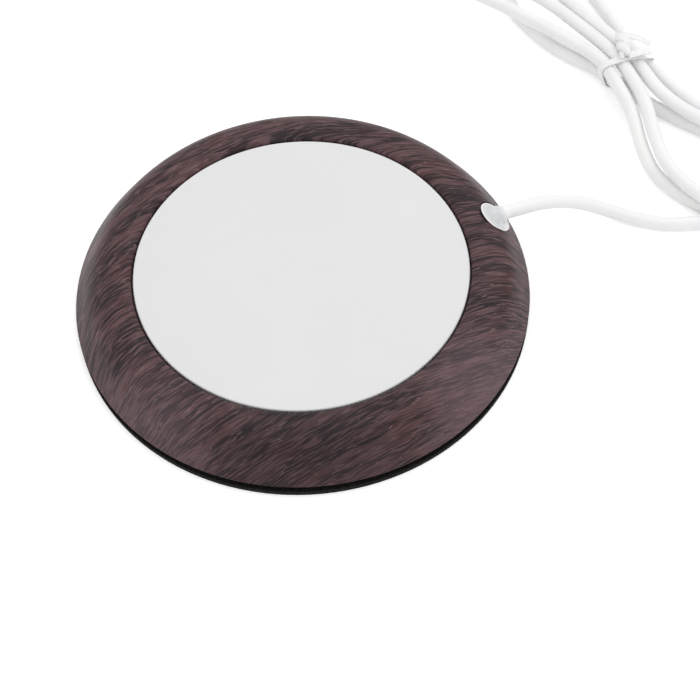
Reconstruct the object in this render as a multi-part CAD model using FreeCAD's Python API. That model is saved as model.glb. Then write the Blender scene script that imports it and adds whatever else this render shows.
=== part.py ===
import FreeCAD, Part
import math
import os

# A round electric mug warmer: a wood-look ring holds a white warming plate over a film heater.
# The origin is the centre of the underside, on the surface that it stands on. +Z is up, and +X
# and +Y run to the right and away from the person who looks at it. All sizes are millimetres.

os.makedirs("parts", exist_ok=True)
Vector = FreeCAD.Vector
UP = Vector(0, 0, 1)

# Ring
RING_RADIUS = 57.5
RING_FOOT = 2.6
RING_TOP = 11.8
RING_BORE = 42.35
BORE_EDGE = 10.4
CREST_RADIUS = 46.0
FOOT_ROUND = 0.35
SKIRT_RADIUS = 54.2
COLLAR_RADIUS = 44.2
LEDGE_RADIUS = 38.0
LEDGE_THICKNESS = 1.5

# Warming plate and what is pressed against it
PLATE_RADIUS = 41.9
PLATE_TOP = 11.0
PLATE_THICKNESS = 1.2
PLATE_CHAMFER = 0.2
PLATE_TAPE = 0.5
SPREADER_RADIUS = 37.4
SPREADER_THICKNESS = 0.3
FILM_RADIUS = 36.6
FILM_THICKNESS = 0.2
TRACE_THICKNESS = 0.15
TRACE_WIDTH = 3.0
TRACE_PITCH = 5.0
FELT_THICKNESS = 2.1
PRESSER_THICKNESS = 0.6

# Base
PAD_RADIUS = 57.4
PAD_THICKNESS = 1.5
PAD_SHIFT = (0.0, -0.6)
GLUE_THICKNESS = 0.15
GLUE_RADIUS = 55.5
BASE_RADIUS = 56.1
BASE_FLOOR = 1.5
RIM_INNER = 52.3
RIM_OUTER = 53.9
RIM_HEIGHT = 1.45
SCREW_COUNT = 6
SCREW_CIRCLE = 49.4
BOSS_RADIUS = 2.3
PILOT_RADIUS = 0.9
SCREW_HEAD_RADIUS = 2.0
POST_CIRCLE = 20.0
POST_COUNT = 6
CLAMP_REACH = 31.5
CLAMP_SCREW_ACROSS = 3.9
CLAMP_THICKNESS = 1.0
NOTCH_WIDTH = 14.0
NOTCH_REACH = 26.0
TERMINALS = [(12.0, -7.5), (12.0, 7.5)]
CUTOFF_PLACE = (-6.0, 0.0)
CUTOFF_SIZE = (9.0, 4.6, 2.0)

# Cord, and the strain relief that it leaves
CORD = 3.7
EXIT_TURN = 13.4
DISC_REACH = 51.9
DISC_HEIGHT = 9.4
DISC_TILT = 43.0
DISC_RADIUS = 4.85
NECK_RADIUS = 2.5
WALL_BACK = 2.15
COLLAR_BACK = 2.9
STUB_LENGTH = 3.6
EXIT_REACH = 54.7
EXIT_HEIGHT = 10.3
INNER_CORD_HEIGHT = 5.05
JACKET_END = 26.5
CORE = 1.2

# The stretch of cord that lies free, point by point
RUN_ROUTE = [
    (58.6, 14.0, 10.3),
    (65.2, 16.2, 9.2),
    (73.5, 17.7, 6.3),
    (81.6, 16.5, 3.3),
    (89.2, 13.7, 1.85),
    (97.2, 11.0, 1.85),
    (105.6, 11.2, 1.85),
]

HANDOVER_SHARE = 0.28

# The hank: cord folded to and fro and tied at its waist. Along and across are measured from the
# waist, along its long axis and square to it.
WAIST = (96.0, 72.0)
HANK_TURN = -60.0
WAIST_MIDDLE = 3.9
WAIST_HALF = 4.0
FLOOR_LAYER = CORD / 2
UPPER_LAYER = 6.2

# How each pass of the cord goes through the tie: how far across it is there, how far across it
# drifts for each millimetre along, and its height
PASSES = {
    "first": (5.9, -0.1, 2.75),
    "second": (-6.7, 0.0, 2.75),
    "third": (-8.2, -0.3, 6.9),
    "fourth": (0.7, -0.15, 6.9),
    "last": (-3.8, -0.2, 7.6),
}

# The cord between two passes is a lobe: out along one flank, round an arc and back along the
# other. A flank leaves its straight line by a bow and a sway, and meets the arc at a heading
# that points outward by some degrees. The arc starts on the upper or the lower side.
LOBES = [
    {"side": -1, "starts": 1, "centre": (-31.8, 1.6), "radius": 12.5, "height": FLOOR_LAYER,
     "steps": 3, "late": False, "out": ("first", 0.4, -0.1, 10.1), "back": ("second", -2.6, 0.0, -5.9)},
    {"side": 1, "starts": 1, "centre": (51.4, -4.9), "radius": 12.7, "height": FLOOR_LAYER,
     "steps": 3, "late": False, "out": ("second", -1.5, -0.1, 24.2), "back": ("third", -4.9, 2.9, -4.4)},
    {"side": -1, "starts": -1, "centre": (-106.1, -12.0), "radius": 15.1, "height": FLOOR_LAYER,
     "steps": 6, "late": True, "out": ("third", -5.3, 2.5, 4.5), "back": ("fourth", -1.6, 0.6, 5.0)},
    {"side": 1, "starts": 1, "centre": (53.0, -5.9), "radius": 12.8, "height": UPPER_LAYER,
     "steps": 3, "late": False, "out": ("fourth", -4.6, -0.6, 22.1), "back": ("last", -3.5, 2.5, -3.6)},
]
LOBE_ARC_STEPS = 4

# The first bend of the hank carries the free stretch round to the tie
ENTRY_CENTRE = (54.9, -3.6)
ENTRY_RADIUS = 18.8
ENTRY_START = -31.6
ENTRY_OUTWARD = 11.8
ENTRY_FLANK = ("first", -4.1, 0.4)
ENTRY_STEPS = 3

# The tail of the hank: along, across and height of each point
TAIL = [
    (-0.1, -3.0, 7.6),
    (-14.0, -2.9, 6.8),
    (-28.0, -3.4, 6.5),
    (-40.0, -6.8, 6.5),
    (-50.0, -10.3, 4.2),
    (-58.0, -18.0, 1.85),
    (-65.5, -25.5, 1.85),
    (-73.0, -34.5, 2.4),
]

# Tie
TIE_CLEARANCE = 0.4
TIE_THICKNESS = 0.45
TIE_WIDTH = 2.2
TWIST_ENDS = ((6.0, -1.7, 11.1), (-3.0, 2.2, 10.9))
TWIST_WIDTH = 3.8
TWIST_THICKNESS = 2.4
TWIST_TURNS = 1.25
LOOSE_ENDS = (
    ((-1.6, 1.4, 11.0), (1.6, 4.4, 11.6), (4.3, 6.8, 11.0)),
    ((4.6, -1.2, 10.8), (7.2, 0.6, 11.2), (9.3, 2.4, 10.6)),
)
LOOSE_WIDTH = 2.0
LOOSE_THICKNESS = 0.6

# Plug
PLUG_PLACE = (12.0, 121.5)
PLUG_TURN = 171.0
PLUG_HEIGHT = 4.0
NOSE_LENGTH = 9.0
NOSE_RADII = (2.4, 3.5)
NOSE_GROOVES = 4
GRIP_LENGTH = 24.0
GRIP_WIDTH = 15.4
GRIP_THICKNESS = 8.0
SHELL_WIDTH = 12.0
SHELL_THICKNESS = 4.5
SHELL_WALL = 0.3
SHELL_REACH = 18.8
SHELL_BURIED = 6.0
TONGUE_THICKNESS = 1.95
CONTACT_THICKNESS = 0.2
CONTACT_OFFSETS = (-3.5, -1.0, 1.0, 3.5)

# Levels that follow from the sizes above
BASE_LOW = PAD_THICKNESS + GLUE_THICKNESS
BASE_TOP = BASE_LOW + BASE_FLOOR
PLATE_LOW = PLATE_TOP - PLATE_THICKNESS
LEDGE_TOP = PLATE_LOW - PLATE_TAPE
SPREADER_LOW = PLATE_LOW - SPREADER_THICKNESS
FILM_LOW = SPREADER_LOW - FILM_THICKNESS
TRACE_LOW = FILM_LOW - TRACE_THICKNESS
FELT_LOW = TRACE_LOW - FELT_THICKNESS
PRESSER_LOW = FELT_LOW - PRESSER_THICKNESS


def polar(radius, degrees, height=0.0):
    """The point at this distance from the vertical axis, this far round from +X."""
    turn = math.radians(degrees)
    return Vector(radius * math.cos(turn), radius * math.sin(turn), height)


def disc(radius, low, high, centre=(0.0, 0.0)):
    return Part.makeCylinder(radius, high - low, Vector(centre[0], centre[1], low))


def washer(inner, outer, low, high):
    return disc(outer, low, high).cut(disc(inner, low, high))


def block(length, width, height, centre):
    """A box with its middle at centre."""
    corner = centre - Vector(length / 2, width / 2, height / 2)
    return Part.makeBox(length, width, height, corner)


def spun(edges, full=360):
    """The solid swept by a closed outline in the XZ plane, turned about the vertical axis."""
    return Part.Face(Part.Wire(edges)).revolve(Vector(0, 0, 0), UP, full)


def line(start, end):
    return Part.makeLine(start, end)


def bezier(points):
    curve = Part.BezierCurve()
    curve.setPoles(points)
    return curve.toShape()


def flat_outline(points):
    """Straight edges through points (radius, height), not closed."""
    corners = [Vector(radius, 0, height) for radius, height in points]
    return [line(a, b) for a, b in zip(corners, corners[1:])]


def put(name, shape):
    """Writes one node, and prints how large it is."""
    shape.exportStep("parts/" + name + ".step")
    box = shape.BoundBox
    print(f"{name}: {len(shape.Solids)} solid, {shape.Volume:.1f} mm3,",
          f"z {box.ZMin:.2f} to {box.ZMax:.2f}, valid {shape.isValid()}")


def turned(shape):
    """The shape turned from the XZ plane to the side where the cord leaves."""
    copy = shape.copy()
    copy.rotate(Vector(0, 0, 0), UP, EXIT_TURN)
    return copy


# Paths of round tubes

def unit(vector):
    return Vector(vector) / vector.Length


def arc_to(start, heading, end):
    """The arc that leaves start along heading and reaches end, or a line if that is straight."""
    chord = end - start
    along = unit(chord)
    side = heading - along * heading.dot(along)
    if side.Length < 1e-4:
        return Part.LineSegment(start, end).toShape()
    half_turn = math.atan2(side.Length, heading.dot(along))
    bulge = chord.Length / 2 * math.tan(half_turn / 2)
    middle = start + chord / 2 + unit(side) * bulge
    return Part.Arc(start, middle, end).toShape()


def biarc(start, start_heading, end, end_heading):
    """Two arcs that meet smoothly and carry one heading over to the other."""
    gap = end - start
    both = start_heading + end_heading
    bend = 2 * (1 - start_heading.dot(end_heading))
    if bend < 1e-6:
        return [Part.LineSegment(start, end).toShape()]
    reach = (math.sqrt(gap.dot(both) ** 2 + bend * gap.dot(gap)) - gap.dot(both)) / bend
    joint = (start + end + (start_heading - end_heading) * reach) / 2
    heading = unit(end - end_heading * reach - start - start_heading * reach)
    return [arc_to(start, start_heading, joint), arc_to(joint, heading, end)]


def tangent_arc_path(points):
    """Straight runs joined by arcs that take 0.45 of the shorter run, with the arcs' radii."""
    edges = []
    radii = []
    last = points[0]
    for before, corner, after in zip(points, points[1:], points[2:]):
        arriving = unit(corner - before)
        leaving = unit(after - corner)
        taken = 0.45 * min((corner - before).Length, (after - corner).Length)
        half_turn = arriving.getAngle(leaving) / 2
        radii.append(taken / math.tan(half_turn))
        arc_start = corner - arriving * taken
        arc_end = corner + leaving * taken
        edges.append(Part.LineSegment(last, arc_start).toShape())
        edges.append(arc_to(arc_start, arriving, arc_end))
        last = arc_end
    edges.append(Part.LineSegment(last, points[-1]).toShape())
    return edges, radii


def biarc_path(points):
    """A biarc round each corner, from the middle of one side to the middle of the next."""
    middles = [(a + b) / 2 for a, b in zip(points, points[1:])]
    headings = [unit(b - a) for a, b in zip(points, points[1:])]
    edges = [Part.LineSegment(points[0], middles[0]).toShape()]
    for k in range(len(middles) - 1):
        edges += biarc(middles[k], headings[k], middles[k + 1], headings[k + 1])
    edges.append(Part.LineSegment(middles[-1], points[-1]).toShape())
    return edges


def tube(edges, diameter):
    """A round tube along a path of lines and arcs."""
    path = Part.Wire(edges)
    first = edges[0]
    start = first.Vertexes[0].Point
    heading = first.Vertexes[1].Point - start
    ring = Part.Wire([Part.makeCircle(diameter / 2, start, heading)])
    return path.makePipeShell([ring], True, False)


def path_length(edges):
    return sum(edge.Length for edge in edges)


def check_tube(name, shape, edges, diameter):
    """Prints how near the tube's volume is to its section times its length."""
    length = path_length(edges)
    section = math.pi * diameter ** 2 / 4
    print(f"{name}: length {length:.1f} mm, volume over section times length",
          f"{shape.Volume / (section * length):.4f}")


# Housing

def ring_section():
    """The ring's outline: domed outside, a soft lip at the bore, a ledge and a hollow below."""
    crest = Vector(CREST_RADIUS, 0, RING_TOP)
    foot = Vector(RING_RADIUS, 0, RING_FOOT + FOOT_ROUND)
    lip = Vector(RING_BORE, 0, BORE_EDGE)
    shoulder = bezier([crest, crest + Vector(6.1, 0, 0), foot + Vector(-4.7, 0, 6.6), foot])
    edge = Part.Arc(foot, foot + Vector(-0.1, 0, -0.25),
                    foot + Vector(-FOOT_ROUND, 0, -FOOT_ROUND)).toShape()
    inside = [
        (RING_RADIUS - FOOT_ROUND, RING_FOOT),
        (SKIRT_RADIUS, RING_FOOT),
        (SKIRT_RADIUS, 4.4),
        (49.8, 8.9),
        (46.4, 9.7),
        (COLLAR_RADIUS, 9.6),
        (COLLAR_RADIUS, LEDGE_TOP - LEDGE_THICKNESS),
        (LEDGE_RADIUS, LEDGE_TOP - LEDGE_THICKNESS),
        (LEDGE_RADIUS, LEDGE_TOP),
        (RING_BORE, LEDGE_TOP),
        (RING_BORE, BORE_EDGE),
    ]
    lip_curve = bezier([lip, lip + Vector(0, 0, 1.05), crest + Vector(-2.5, 0, 0), crest])
    return [shoulder, edge] + flat_outline(inside) + [lip_curve]


def screw_turns():
    """The screws stand evenly round the ring, with the cord half way between two of them."""
    step = 360 / SCREW_COUNT
    return [EXIT_TURN + step * (k + 0.5) for k in range(SCREW_COUNT)]


def disc_axes():
    """The middle of the strain relief's disc, and the way that its face looks."""
    middle = polar(DISC_REACH, EXIT_TURN, DISC_HEIGHT)
    tilt = math.radians(DISC_TILT)
    outward = polar(math.sin(tilt), EXIT_TURN, math.cos(tilt))
    return middle, outward


def wood_ring():
    ring = spun(ring_section())
    for turn in screw_turns():
        boss = Part.makeCylinder(BOSS_RADIUS, 9.3 - BASE_TOP, polar(SCREW_CIRCLE, turn, BASE_TOP))
        ring = ring.fuse(boss)
    for turn in screw_turns():
        pilot = Part.makeCylinder(PILOT_RADIUS, 5.0, polar(SCREW_CIRCLE, turn, BASE_TOP))
        ring = ring.cut(pilot)
    middle, outward = disc_axes()
    seat = Part.makeCylinder(DISC_RADIUS + 0.15, 6.0, middle - outward * 0.45, outward)
    neck_hole = Part.makeCylinder(NECK_RADIUS + 0.1, 6.0, middle - outward * 4.0, outward)
    pocket = Part.makeCylinder(3.4, 3.0, middle - outward * (WALL_BACK + 3.0), outward)
    return ring.cut(seat).cut(neck_hole).cut(pocket)


def heating_plate():
    outline = [
        (0, PLATE_LOW),
        (PLATE_RADIUS, PLATE_LOW),
        (PLATE_RADIUS, PLATE_TOP - PLATE_CHAMFER),
        (PLATE_RADIUS - PLATE_CHAMFER, PLATE_TOP),
        (0, PLATE_TOP),
        (0, PLATE_LOW),
    ]
    return spun(flat_outline(outline))


def plate_tape():
    return washer(LEDGE_RADIUS + 0.2, PLATE_RADIUS - 0.4, LEDGE_TOP, PLATE_LOW)


# Heater

def trace_rows():
    """The heights of the rows of the zigzag heater track, and how far each reaches sideways."""
    reach = FILM_RADIUS - TRACE_WIDTH
    count = int(2 * reach / TRACE_PITCH)
    rows = []
    for k in range(count + 1):
        y = (k - count / 2) * TRACE_PITCH
        rows.append((y, math.sqrt(max(reach ** 2 - y ** 2, 1.0)) - 1.0))
    return rows


def heater_trace():
    """One long zigzag of metal foil under the film, joined at alternate ends of its rows."""
    middle = TRACE_LOW + TRACE_THICKNESS / 2
    rows = trace_rows()
    bars = []
    for y, reach in rows:
        bars.append(block(2 * reach, TRACE_WIDTH, TRACE_THICKNESS, Vector(0, y, middle)))
    for k in range(1, len(rows)):
        side = 1 if k % 2 else -1
        reach = min(rows[k - 1][1], rows[k][1]) - TRACE_WIDTH / 2
        y = (rows[k - 1][0] + rows[k][0]) / 2
        bars.append(block(TRACE_WIDTH, TRACE_PITCH + TRACE_WIDTH, TRACE_THICKNESS,
                          Vector(side * reach, y, middle)))
    track = bars[0]
    for bar in bars[1:]:
        track = track.fuse(bar)
    return track.removeSplitter()


def solder_joints():
    """Two low domes of solder under the heater track."""
    domes = []
    for x, y in TERMINALS:
        ball = Part.makeSphere(1.6, Vector(x, y, TRACE_LOW))
        keep = block(4, 4, 0.9, Vector(x, y, TRACE_LOW - 0.45))
        domes.append(ball.common(keep))
    return Part.makeCompound(domes)


def cord_notch(low, high):
    """The room that a disc leaves for the cord and its clamp."""
    notch = block(FILM_RADIUS, NOTCH_WIDTH, high - low,
                  Vector(NOTCH_REACH + FILM_RADIUS / 2, 0, (low + high) / 2))
    return turned(notch)


def insulation_felt():
    """A felt disc with pockets for the solder and for the thermal cut-off."""
    felt = disc(FILM_RADIUS, FELT_LOW, TRACE_LOW)
    for x, y in TERMINALS:
        felt = felt.cut(disc(2.2, FELT_LOW, TRACE_LOW, (x, y)))
    x, y = CUTOFF_PLACE
    length, width, height = CUTOFF_SIZE
    pocket = block(length + 1.0, width + 1.0, FELT_THICKNESS, Vector(x, y, (FELT_LOW + TRACE_LOW) / 2))
    return felt.cut(pocket).cut(cord_notch(FELT_LOW, TRACE_LOW))


def presser_disc():
    """A stiff sheet that the base's posts hold up against the felt."""
    sheet = disc(FILM_RADIUS, PRESSER_LOW, FELT_LOW)
    for x, y in TERMINALS:
        sheet = sheet.cut(disc(1.3, PRESSER_LOW, FELT_LOW, (x, y)))
    return sheet.cut(cord_notch(PRESSER_LOW, FELT_LOW))


def thermal_cutoff():
    """A small bimetal cut-off that lies against the heater."""
    x, y = CUTOFF_PLACE
    length, width, height = CUTOFF_SIZE
    body = block(length, width, height, Vector(x, y, TRACE_LOW - height / 2))
    return body.makeFillet(0.4, [edge for edge in body.Edges if abs(edge.tangentAt(0).z) > 0.9])


# Base

def base_cover():
    step = disc(BASE_RADIUS, BASE_LOW, RING_FOOT)
    floor = disc(SKIRT_RADIUS - 0.15, RING_FOOT, BASE_TOP)
    rim = washer(RIM_INNER, RIM_OUTER, BASE_TOP, BASE_TOP + RIM_HEIGHT)
    gap = block(14, 15, RIM_HEIGHT, Vector(RIM_OUTER, 0, BASE_TOP + RIM_HEIGHT / 2))
    gap.rotate(Vector(0, 0, 0), UP, EXIT_TURN)
    cover = step.fuse(floor).fuse(rim.cut(gap))
    for k in range(POST_COUNT):
        place = polar(POST_CIRCLE, EXIT_TURN + 360 / POST_COUNT * (k + 0.5), BASE_TOP)
        cover = cover.fuse(Part.makeCylinder(1.8, PRESSER_LOW - BASE_TOP, place))
    for place in clamp_screw_places(BASE_TOP):
        cover = cover.fuse(Part.makeCylinder(1.9, clamp_low() - BASE_TOP, place))
    for place in clamp_screw_places(BASE_TOP):
        cover = cover.cut(Part.makeCylinder(0.6, 4.0, place))
    for turn in screw_turns():
        hole = Part.makeCylinder(1.3, 2.0, polar(SCREW_CIRCLE, turn, BASE_LOW))
        sink = Part.makeCylinder(SCREW_HEAD_RADIUS + 0.2, 0.8, polar(SCREW_CIRCLE, turn, BASE_LOW))
        cover = cover.cut(hole).cut(sink)
    return cover.removeSplitter()


def base_screws():
    """Self-tapping screws that hold the base to the ring."""
    screws = []
    for turn in screw_turns():
        foot = polar(SCREW_CIRCLE, turn, BASE_LOW + 0.05)
        head = Part.makeCylinder(SCREW_HEAD_RADIUS, 0.7, foot)
        shank = Part.makeCylinder(PILOT_RADIUS - 0.05, 5.0, foot + Vector(0, 0, 0.7))
        slot = block(2.4, 0.5, 0.3, foot + Vector(0, 0, 0.15))
        cross = block(0.5, 2.4, 0.3, foot + Vector(0, 0, 0.15))
        screws.append(head.fuse(shank).cut(slot).cut(cross))
    return Part.makeCompound(screws)


# Cord inside the housing

def clamp_low():
    """The underside of the clamp bar lies on the cord."""
    return INNER_CORD_HEIGHT + CORD / 2


def clamp_screw_places(height):
    middle = polar(CLAMP_REACH, EXIT_TURN, height)
    return [middle + polar(side * CLAMP_SCREW_ACROSS, EXIT_TURN + 90) for side in (-1, 1)]


def cord_clamp():
    """A short bar over the cord, held down by two screws."""
    bar = block(4.4, 11.6, CLAMP_THICKNESS, Vector(CLAMP_REACH, 0, clamp_low() + CLAMP_THICKNESS / 2))
    bar = turned(bar.makeFillet(0.4, [e for e in bar.Edges if abs(e.tangentAt(0).z) > 0.9]))
    for place in clamp_screw_places(clamp_low()):
        bar = bar.cut(Part.makeCylinder(0.8, CLAMP_THICKNESS, place))
    return bar


def clamp_screws():
    screws = []
    for place in clamp_screw_places(clamp_low() + CLAMP_THICKNESS):
        head = Part.makeCylinder(1.4, 0.55, place)
        shank = Part.makeCylinder(0.6, 4.0, place - Vector(0, 0, 4.0))
        screws.append(head.fuse(shank))
    return Part.makeCompound(screws)


def inner_cord():
    """The cord between the strain relief and the clamp: down the tilt, then level."""
    tilt = math.radians(DISC_TILT)
    stub = Vector(DISC_REACH - math.sin(tilt) * STUB_LENGTH, 0,
                  DISC_HEIGHT - math.cos(tilt) * STUB_LENGTH)
    fall = stub.z - INNER_CORD_HEIGHT
    heading = Vector(-math.sin(tilt), 0, -math.cos(tilt))
    turn = math.pi / 2 - tilt
    radius = 4.6
    straight = (fall - radius * (1 - math.cos(turn))) / math.cos(tilt)
    bend = stub + heading * straight
    level = bend + Vector(-radius * math.sin(turn), 0, INNER_CORD_HEIGHT - bend.z)
    edges = [
        Part.LineSegment(stub, bend).toShape(),
        arc_to(bend, heading, level),
        Part.LineSegment(level, Vector(JACKET_END, 0, INNER_CORD_HEIGHT)).toShape(),
    ]
    shape = tube(edges, CORD)
    check_tube("inner_cord", shape, edges, CORD)
    return turned(shape)


def lead_points(side):
    """One core: level from the end of the jacket, then up through the presser to the heater."""
    x, y = TERMINALS[0 if side < 0 else 1]
    across = polar(side * 0.85, EXIT_TURN + 90)
    start = polar(JACKET_END, EXIT_TURN, INNER_CORD_HEIGHT) + across
    ahead = polar(JACKET_END - 4.0, EXIT_TURN, INNER_CORD_HEIGHT) + across
    below = Vector(x, y, INNER_CORD_HEIGHT)
    top = Vector(x, y, TRACE_LOW - 0.9)
    return [start, ahead, below, top]


def lead(side):
    edges, radii = tangent_arc_path(lead_points(side))
    shape = tube(edges, CORE)
    check_tube("lead", shape, edges, CORE)
    print("radii", [round(radius, 1) for radius in radii])
    return shape


def strain_relief():
    """A disc in the ring's shoulder, with a collar behind the wall and a flare round the cord."""
    middle, outward = disc_axes()
    low = middle - outward * 0.45
    plate = Part.makeCylinder(DISC_RADIUS, 0.85, low, outward)
    rim_edges = [edge for edge in plate.Edges
                 if edge.Curve.TypeId == "Part::GeomCircle"
                 and (edge.Curve.Center - middle).dot(outward) > 0]
    plate = plate.makeFillet(0.3, rim_edges)
    dish = Part.makeCone(3.2, 4.35, 0.2, middle + outward * 0.2, outward)
    neck = Part.makeCylinder(NECK_RADIUS, COLLAR_BACK, middle - outward * COLLAR_BACK, outward)
    collar = Part.makeCylinder(3.2, COLLAR_BACK - WALL_BACK, middle - outward * COLLAR_BACK, outward)
    stub = Part.makeCylinder(2.1, 1.0, middle - outward * STUB_LENGTH, outward)
    plate = plate.cut(dish)
    exit_point = polar(EXIT_REACH, EXIT_TURN, EXIT_HEIGHT)
    away = polar(1.0, EXIT_TURN)
    base = middle + outward * 0.15
    between = base + outward * 0.75 + away * 0.8
    flare = Part.makeLoft([
        Part.Wire([Part.makeCircle(3.15, base, outward)]),
        Part.Wire([Part.makeCircle(2.2, between, outward + away * 0.8)]),
        Part.Wire([Part.makeCircle(CORD / 2 + 0.12, exit_point, away)]),
    ], True)
    return plate.fuse(neck).fuse(collar).fuse(stub).fuse(flare)


# Free cord

def exit_place():
    return polar(EXIT_REACH, EXIT_TURN, EXIT_HEIGHT)


def hank_point(along, across, height):
    turn = math.radians(HANK_TURN)
    x = WAIST[0] + along * math.cos(turn) - across * math.sin(turn)
    y = WAIST[1] + along * math.sin(turn) + across * math.cos(turn)
    return Vector(x, y, height)


def flank(column, side, joint, height, steps, late, bow, sway):
    """Points of a flank, from the tie out to where the arc begins."""
    middle, drift, low = PASSES[column]
    start = WAIST_MIDDLE + side * WAIST_HALF
    across = middle + drift * side * WAIST_HALF
    points = [(start, across, low)]
    for k in range(1, steps + 1):
        t = k / (steps + 1)
        share = t ** 5 if late else t * (1.9 - 0.9 * t)
        u = start + (joint[0] - start) * t
        v = across + (joint[1] - across) * t
        v += bow * math.sin(math.pi * t) + sway * math.sin(2 * math.pi * t)
        points.append((u, v, low + (height - low) * share))
    return points


def lobe(side, starts, centre, radius, height, steps, late, out, back):
    """All the points of one lobe, from the tie round to the tie again."""
    flanks = []
    for (column, bow, sway, outward), edge in ((out, starts), (back, -starts)):
        tilt = math.radians(outward)
        joint = (centre[0] - side * radius * math.sin(tilt), centre[1] + edge * radius * math.cos(tilt))
        flanks.append(flank(column, side, joint, height, steps, late, bow, sway))
    first = math.degrees(math.atan2(starts * math.cos(math.radians(out[3])),
                                    -math.sin(math.radians(out[3]))))
    step = (180 + out[3] + back[3]) / LOBE_ARC_STEPS
    pole = radius / math.cos(math.radians(step / 2))
    arc_points = []
    for k in range(LOBE_ARC_STEPS):
        turn = math.radians(first - starts * step * (k + 0.5))
        arc_points.append((centre[0] + side * pole * math.cos(turn),
                           centre[1] + pole * math.sin(turn), height))
    return flanks[0] + arc_points + flanks[1][::-1]


def entry_bend():
    """The first bend, and the flank that leads from it to the tie."""
    step = (90 + ENTRY_OUTWARD - ENTRY_START) / ENTRY_STEPS
    pole = ENTRY_RADIUS / math.cos(math.radians(step / 2))
    points = []
    for k in range(ENTRY_STEPS):
        turn = math.radians(ENTRY_START + step * (k + 0.5))
        points.append((ENTRY_CENTRE[0] + pole * math.cos(turn),
                       ENTRY_CENTRE[1] + pole * math.sin(turn), FLOOR_LAYER))
    tilt = math.radians(ENTRY_OUTWARD)
    joint = (ENTRY_CENTRE[0] - ENTRY_RADIUS * math.sin(tilt),
             ENTRY_CENTRE[1] + ENTRY_RADIUS * math.cos(tilt))
    column, bow, sway = ENTRY_FLANK
    return points + flank(column, 1, joint, FLOOR_LAYER, 3, False, bow, sway)[::-1]


def hank_points():
    """The whole hank, from where the free stretch hands over to the plug."""
    route = entry_bend()
    first = hank_point(*route[0])
    before = Vector(*RUN_ROUTE[-1])
    handover = before + (first - before) * HANDOVER_SHARE
    for data in LOBES:
        route += lobe(**data)
    route += TAIL
    end = Vector(PLUG_PLACE[0], PLUG_PLACE[1], PLUG_HEIGHT)
    ahead = end - polar(8.8, PLUG_TURN)
    return [handover] + [hank_point(*point) for point in route] + [ahead, end]


def samples(edges, step):
    """Points along a path, with the distance run to each."""
    found = []
    run = 0.0
    for edge in edges:
        count = max(1, int(round(edge.Length / step)))
        for k in range(count):
            where = edge.FirstParameter + (edge.LastParameter - edge.FirstParameter) * k / count
            found.append((run + edge.Length * k / count, edge.valueAt(where)))
        run += edge.Length
    return found


def least_gap(edges, diameter):
    """The least free space between two stretches of one tube."""
    found = samples(edges, 0.8)
    best = (1e9, None, None)
    for i, (run_a, a) in enumerate(found):
        for run_b, b in found[i + 1:]:
            if run_b - run_a < 5 * diameter:
                continue
            far = math.dist(tuple(a), tuple(b))
            if far < best[0]:
                best = (far, a, b)
    return best[0] - diameter, best[1], best[2]


def cord_pieces():
    run_points = [exit_place()] + [Vector(*p) for p in RUN_ROUTE] + [hank_points()[0]]
    run_edges, radii = tangent_arc_path(run_points)
    run = tube(run_edges, CORD)
    check_tube("cord_run", run, run_edges, CORD)
    print("radii", [round(radius, 1) for radius in radii])
    edges = biarc_path(hank_points())
    hank = tube(edges, CORD)
    check_tube("cord_hank", hank, edges, CORD)
    arcs = [edge.Curve.Radius for edge in edges if edge.Curve.TypeId == "Part::GeomCircle"]
    print("hank: points", len(hank_points()), "least radius", round(min(arcs), 1))
    gap, a, b = least_gap(edges, CORD)
    print("hank: least gap to itself", round(gap, 2), "at", a, b)
    print("cord in all", round(path_length(run_edges) + path_length(edges), 1))
    return run, hank


# Tie

def band_outline(radius):
    """The outline round all the passes in the tie, at this distance from their middles."""
    corners = [PASSES[name] for name in ("second", "first", "fourth", "last", "third")]
    middles = [Vector(0, across, height) for across, drift, height in corners]
    edges = []
    for k, middle in enumerate(middles):
        before = unit(middle - middles[k - 1])
        after = unit(middles[(k + 1) % len(middles)] - middle)
        start = middle + Vector(0, before.z, -before.y) * radius
        end = middle + Vector(0, after.z, -after.y) * radius
        bulge = middle + unit((start + end) / 2 - middle) * radius
        edges.append(Part.Arc(start, bulge, end).toShape())
        following = middles[(k + 1) % len(middles)]
        edges.append(line(end, following + Vector(0, after.z, -after.y) * radius))
    return Part.Face(Part.Wire(edges))


def laid_in_hank(shape):
    """The shape, made with X along and Y across the hank, put where the hank lies."""
    copy = shape.copy()
    copy.rotate(Vector(0, 0, 0), UP, HANK_TURN)
    copy.translate(Vector(WAIST[0], WAIST[1], 0))
    return copy


def strip_section(middle, heading, width, thickness, turn):
    """A rectangle square to the heading, turned about it."""
    flat = unit(UP.cross(heading))
    rise = unit(heading.cross(flat))
    wide = flat * math.cos(turn) + rise * math.sin(turn)
    thin = rise * math.cos(turn) - flat * math.sin(turn)
    corners = []
    for a, b in ((1, 1), (-1, 1), (-1, -1), (1, -1)):
        corners.append(middle + wide * (a * width / 2) + thin * (b * thickness / 2))
    return Part.makePolygon(corners + [corners[0]])


def twist():
    """The two ends of the tie twisted about each other: a bar that turns as it runs."""
    start, end = [Vector(*point) for point in TWIST_ENDS]
    heading = unit(end - start)
    count = 14
    sections = []
    for k in range(count + 1):
        t = k / count
        swell = 1 - 0.25 * abs(2 * t - 1)
        sections.append(strip_section(start + (end - start) * t, heading, TWIST_WIDTH * swell,
                                      TWIST_THICKNESS * swell, 2 * math.pi * TWIST_TURNS * t))
    return Part.makeLoft(sections, True, True)


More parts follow.
